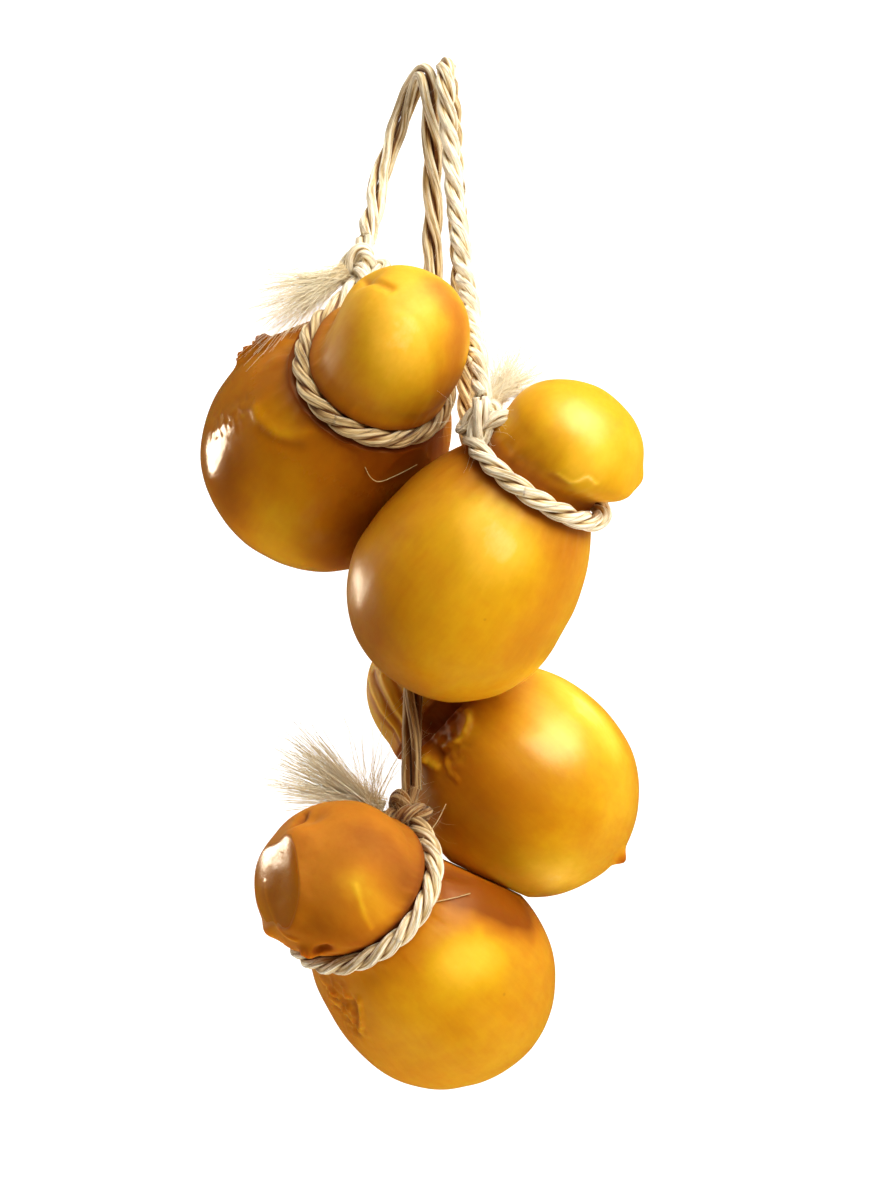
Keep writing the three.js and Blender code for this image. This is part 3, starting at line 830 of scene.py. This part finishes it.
def smoke_shade_and_matt(name, cheese, y, outward, on_neck, beside):
    """How deep each point's colour is, from its smoked tone and from the painted shade under and beside the
    twine and on the shaded side, and its roughness.
    """
    at = cheese["neck"]["at"]
    on_head = smoothstep(y, at - 2, at + 5)
    body_smoke, head_smoke_and_shade = SMOKE_AND_SHADE[name]
    smoke_and_painted_light = body_smoke + (head_smoke_and_shade - body_smoke) * on_head
    smoke_and_painted_light = smoke_and_painted_light + SHADE_UNDER_TWINE * on_neck + SHADE_BESIDE_TWINE * beside
    # painted shade on the side turned away from the key light
    facing = outward @ pose_of(cheese["heading"], cheese["rise"]).T @ unit(np.array(SHADED_SIDE, float))
    smoke_and_painted_light = smoke_and_painted_light + SHADED_SIDE_DEEPER * np.clip(facing, 0, 1) ** 1.2
    body_matt, head_matt = MATT[name]
    matt = body_matt + (head_matt - body_matt) * on_head
    matt = matt + MATT_BY_TWINE * (1 - on_head) * np.exp(-(((y - at + BED) / MATT_REACH) ** 2))
    return smoke_and_painted_light, matt


def cheese_piece(name, cheese, seed):
    neck = cheese["neck"]
    heights = ring_heights(cheese)
    points, turn, fold = bare_form(heights, cheese)
    y = points[:, 1]
    from_neck = np.abs(y - neck["at"])
    on_neck = np.exp(-np.maximum(0, from_neck - BED) ** 2 / 3.0)
    beside = np.exp(-(np.maximum(0, from_neck - BED) / 6.5) ** 1.5)
    middle = np.clip(y, cheese["body"][0], cheese["head"][0])
    outward = unit(points - np.stack([np.zeros(len(y)), middle, np.zeros(len(y))], axis=1))
    lift, tint = mark_skin(points, name, cheese)
    for at, bump_turn, size, height in cheese["bumps"]:
        lift += height * np.exp(-((points - on_skin(at, bump_turn, cheese)) ** 2).sum(1) / size**2)
    lift += unevenness(points, y, turn, beside, seed)
    free = 1 - on_neck * (from_neck < BED + 3) * (1 - fold)
    smoke_and_painted_light, matt = smoke_shade_and_matt(name, cheese, y, outward, on_neck, beside)
    points = points + outward * (lift * free)[:, None]
    lean = smoothstep(points[:, 1], neck["at"] + BED, cheese["head"][0])
    points[:, 0] += lean * cheese["shift"]
    below = y < neck["at"] - BED
    world, tint, matt = flattened(placed(points, cheese), tint + smoke_and_painted_light, matt, name, below)
    world[:, 2] = np.maximum(world[:, 2], RIND_OFF_FLOOR)
    faces = tube_faces(len(heights), AROUND)
    piece = mesh_object(f"rind_{name}", world, faces, RIND, None,
                        {"tint": tint, "matt": matt, "place": points * MM})
    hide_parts(f"scamorza_{name}")


for order, (name, cheese) in enumerate(CHEESES.items()):
    cheese_piece(name, cheese, 100 + 10 * order)

# --- neck loops and knots ---

LOOP_POINTS = 260
KNOT_POINTS = 150
KNOT_TWINE = 4.6
# How stained each neck loop and its knot are, which also paints the shade they lie in; below 0 it lightens
# them
TIE_SOILS_AND_SHADE = {"upper_left": (0.4, -0.3), "centre": (0.1, -0.4), "lower_right": (0.95, 0.5),
             "bottom": (0.12, 0.75)}
# The free twine that ends in each knot, and whether its first or its last point is there
ENDS = {"upper_left": ("upper_left_to_bottom", 0), "bottom": ("upper_left_to_bottom", -1),
        "centre": ("centre_to_lower_right", 0), "lower_right": ("centre_to_lower_right", -1)}


def neck_loop(cheese, soils_and_shade, seed):
    neck = cheese["neck"]
    turn = np.linspace(0, 2 * np.pi, LOOP_POINTS, endpoint=False)
    away = np.degrees(np.abs(np.angle(np.exp(1j * (turn - math.radians(neck["turn"]))))))
    radius = neck["radius"] + neck["pull"] * np.exp(-((away / neck["spread"]) ** 2))
    radius = radius - squeezed(neck["at"], turn, neck)
    height = np.full(LOOP_POINTS, float(neck["at"]))
    line = placed(np.stack([radius * np.sin(turn), height, radius * np.cos(turn)], axis=1), cheese)
    turns = np.arange(LOOP_POINTS) / LOOP_POINTS * round(2 * math.pi * neck["radius"] / PITCH)
    points, faces, uv, soil_and_shade = twisted(line, TWINE * 0.98, turns, seed, closed=True, loose=0.25)
    # the loop's staining and painted shade blend into the knot's near the knot
    near_knot = np.tile(np.repeat(np.exp(-((away / 26) ** 2)), STRAND_SIDES), 3)
    return points, faces, uv, soil_and_shade + soils_and_shade[0] + (soils_and_shade[1] - soils_and_shade[0]) * near_knot


def knot(cheese, seed):
    """A tight overhand knot that fills the CAD knot's ellipsoid."""
    neck, size = cheese["neck"], cheese["knot"]["size"]
    t = np.linspace(0, 2 * np.pi, KNOT_POINTS, endpoint=False)
    trefoil = np.stack([(np.sin(t) + 2 * np.sin(2 * t)) / 3, -np.sin(3 * t),
                        (np.cos(t) - 2 * np.cos(2 * t)) / 3], axis=1)
    half = np.maximum(np.array(size, float) - KNOT_TWINE / 2, 1.2)
    out = neck["radius"] + neck["pull"] + cheese["knot"]["out"]
    line = trefoil * half * (1.12, 1.0, 1.12) + (0, neck["at"] + cheese["knot"]["lift"], out)
    turn = math.radians(neck["turn"])
    spin = np.array([[math.cos(turn), 0, math.sin(turn)], [0, 1, 0], [-math.sin(turn), 0, math.cos(turn)]])
    turns = np.arange(KNOT_POINTS) / KNOT_POINTS * 3
    return twisted(placed(line @ spin.T, cheese), KNOT_TWINE, turns, seed, closed=True, loose=0.3)


def knot_middle(cheese):
    neck = cheese["neck"]
    turn, out = math.radians(neck["turn"]), neck["radius"] + neck["pull"] + cheese["knot"]["out"]
    height = neck["at"] + cheese["knot"]["lift"]
    return placed(np.array([out * math.sin(turn), height, out * math.cos(turn)]), cheese)


def lead_in(name, end, cheese, seed):
    """The short length from a free twine's end towards the middle of its knot."""
    last = np.array(TWINES[name][end], float)
    line = spaced(np.stack([last, last * 0.4 + knot_middle(cheese) * 0.6]), STEP)
    return twisted(line, TWINE, np.full(len(line), 0.1), seed, loose=0.4)


for order, (name, cheese) in enumerate(CHEESES.items()):
    soils_and_shade = TIE_SOILS_AND_SHADE[name]
    parts = [neck_loop(cheese, soils_and_shade, 200 + order)]
    for points, faces, uv, soil_and_shade in (knot(cheese, 210 + order), lead_in(*ENDS[name], cheese, 220 + order)):
        parts.append((points, faces, uv, soil_and_shade + soils_and_shade[1]))
    points, faces, uv, soil_and_shade = joined(parts)
    points[:, 2] = np.maximum(points[:, 2], TWINE_OFF_FLOOR)
    tie = mesh_object(f"tie_{name}", points, faces, CORD, uv, {"soil_and_shade": soil_and_shade})
    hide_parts(f"neck_tie_{name}")

# --- frayed ends and loose fibres ---

# How each frayed end looks: fibres, their shortest length over the fan's, how wild they are, how much of
# its thickness a fibre loses by its tip, and how brown it is
BRUSHES = {"upper_left": (420, 0.5, 0.26, 0.7, 0.0), "centre": (450, 0.5, 0.34, 0.7, 0.0),
           "lower_right": (400, 0.6, 0.2, 0.6, 0.3), "bottom": (400, 0.78, 0.12, 0.45, -0.15)}
# Sparse fans of fibres that stand out of two of the knots
WISPS = {"bottom": {"root": (-13.4, -38.4, 48.5), "heading": 92, "rise": 8, "length": 21, "width": 26},
         "upper_left": {"root": (-24, 109, 43), "heading": 213, "rise": 14, "length": 27, "width": 9}}
WISP_BRUSHES = {"bottom": (90, 0.35, 0.25, 0.7, 0.2), "upper_left": (90, 0.35, 0.25, 0.7, 0.0)}
# The fluff on each knot: fibres, their greatest length and how brown they are. The bottom knot's browner
# fluff is partly painted shade
FLUFF = {"upper_left": (70, 9, 0.05), "centre": (60, 8, 0.0), "lower_right": (30, 6, 0.4),
         "bottom": (110, 11, 0.45)}
STRAYS = [
    [(-15.5, 56.4, 71.2), (-13.6, 53.0, 69.9), (-11.6, 51.9, 68.2), (-6.2, 53.9, 64.6), (-0.9, 56.8, 61.8)],
    [(-7.5, -42.5, 67.5), (-4.5, -44.5, 65.5), (-0.4, -46.9, 63.5), (4.1, -43.0, 58), (7.1, -37.6, 52)],
    [(4.4, -63.8, 69.2), (9.4, -62.9, 65.6), (13.8, -61.9, 61.8)],
]
STRAY_RADIUS = 0.16
STRAY_SIDES = 6
STRAY_SOIL = 0.55


def frayed_end(fray, brush, seed):
    """A fan of combed-out fibres, with a few that keep together."""
    rng = np.random.default_rng(seed)
    count, shortest, wildness, taper, brown = brush
    parts = []
    for number, thick, wild in ((count // 40, (0.20, 0.30), wildness / 2), (count, (0.06, 0.12), wildness)):
        root = rng.normal(size=(number, 3)) * (0.40, 0, 0.35) * FRAY_ROOT
        across = rng.uniform(-1, 1, number)
        reach = rng.uniform(shortest, 1.22, number) * (1 - 0.12 * across**2)
        tip = np.stack([across * fray["width"] * 0.62 * reach, fray["length"] * reach,
                        rng.normal(size=number) * fray["width"] * FRAY_FLATTEN * 0.3], axis=1)
        basis = pose_of(fray["heading"], fray["rise"])
        way = (tip - root * 0.3) @ basis.T
        length = np.linalg.norm(way, axis=1)
        start = root @ basis.T + fray["root"] - way / length[:, None] * 3
        parts.append(hairs(start, way / length[:, None], length + 3, rng.uniform(*thick, number), wild,
                           seed + number, bends=9, taper=taper, brown=brown))
    return joined(parts)


for order, (name, fray) in enumerate(FRAYS.items()):
    points, faces, uv, soil_and_shade = frayed_end(fray, BRUSHES[name], 300 + order)
    tail = mesh_object(f"frayed_{name}", points, faces, FIBRE, uv, {"soil_and_shade": soil_and_shade})
    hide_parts(f"frayed_end_{name}")


def knot_fluff(cheese, count, longest, brown, seed):
    """Fibres that have come loose from a knot."""
    rng = np.random.default_rng(seed)
    away = unit(rng.normal(size=(count, 3)) + (0, 0, 0.7))
    lengths = rng.uniform(0.3, 1, count) ** 1.5 * longest + 2
    roots = knot_middle(cheese) + away * (min(cheese["knot"]["size"]) - 2)
    return hairs(roots, away, lengths, rng.uniform(0.04, 0.08, count), 0.8, seed + 1, brown=brown)


def stray(route):
    """One long stray fibre."""
    line = curve_through(route, 0.5)
    _, normal, side = frames_along(line)
    ring = rings_round(line, STRAY_RADIUS, normal, side, STRAY_SIDES)
    across = np.linspace(0, 2 * np.pi, STRAY_SIDES, endpoint=False) / 40
    along = np.arange(len(line)) / 20
    uv = np.stack([np.tile(across, len(line)), np.repeat(along, STRAY_SIDES)], axis=1)
    soil_and_shade = np.full(len(line) * STRAY_SIDES, STRAY_SOIL)
    return ring.reshape(-1, 3), tube_faces(len(line), STRAY_SIDES), uv, soil_and_shade


for order, (name, cheese) in enumerate(CHEESES.items()):
    loose = [knot_fluff(cheese, *FLUFF[name], 400 + order)]
    if name in WISPS:
        loose.append(frayed_end(WISPS[name], WISP_BRUSHES[name], 420 + order))
    points, faces, uv, soil_and_shade = joined(loose)
    mesh_object(f"knot_fluff_{name}", points, faces, FIBRE, uv, {"soil_and_shade": soil_and_shade})
points, faces, uv, soil_and_shade = joined([stray(route) for route in STRAYS])
mesh_object("stray_fibres", points, faces, FIBRE, uv, {"soil_and_shade": soil_and_shade})

# --- floor and light ---

floor_mesh = bpy.data.meshes.new("floor")
floor_mesh.from_pydata([(-4, -4, 0), (4, -4, 0), (4, 4, 0), (-4, 4, 0)], [], [(0, 1, 2, 3)])
floor_mesh.materials.append(floor_material())
floor = bpy.data.objects.new("floor", floor_mesh)
bpy.context.scene.collection.objects.link(floor)
floor.visible_glossy = False
floor.visible_shadow = False

LIT = Vector((0.005, 0.01, 0.05))  # the point that every light faces


def softbox(name, azimuth, height, size, power, colour=(1, 1, 1), distance=1.2, shine=False):
    """An oval area light that gives light only or, with `shine`, only a highlight. Its azimuth and
    height are in degrees."""
    light = bpy.data.lights.new(name, "AREA")
    light.shape = "ELLIPSE"
    light.size, light.size_y = size
    light.energy = power
    light.color = colour
    lamp = bpy.data.objects.new(name, light)
    a, h = math.radians(azimuth), math.radians(height)
    away = Vector((math.cos(a) * math.cos(h), math.sin(a) * math.cos(h), math.sin(h)))
    lamp.location = LIT + away * distance
    lamp.rotation_euler = away.to_track_quat("Z", "Y").to_euler()
    lamp.visible_camera = False
    lamp.visible_diffuse = not shine
    lamp.visible_glossy = shine
    bpy.context.scene.collection.objects.link(lamp)


softbox("key", 45, 36, (1.0, 1.0), 16, (1.0, 0.97, 0.93))
softbox("top", 80, 58, (0.8, 0.8), 3)
softbox("low_top", 92, 14, (0.5, 0.5), 3)
softbox("low_right", 312, 14, (0.5, 0.5), 3.5)
softbox("low_bottom", 262, 4, (0.6, 0.6), 7.5)
softbox("high_shine", 64, 31, (1.3, 1.3), 48, (1.0, 0.93, 0.68), shine=True)
softbox("left_shine", 174, -32, (0.18, 0.27), 2.15, (1.0, 0.86, 0.66), distance=0.7, shine=True)

world = bpy.data.worlds.new("studio")
world.use_nodes = True
background = world.node_tree.nodes["Background"]
background.inputs["Color"].default_value = (1.0, 0.66, 0.40, 1)
background.inputs["Strength"].default_value = 0.14
bpy.context.scene.world = world
bpy.context.scene.view_settings.view_transform = "Standard"
bpy.context.scene.view_settings.look = "Medium High Contrast"
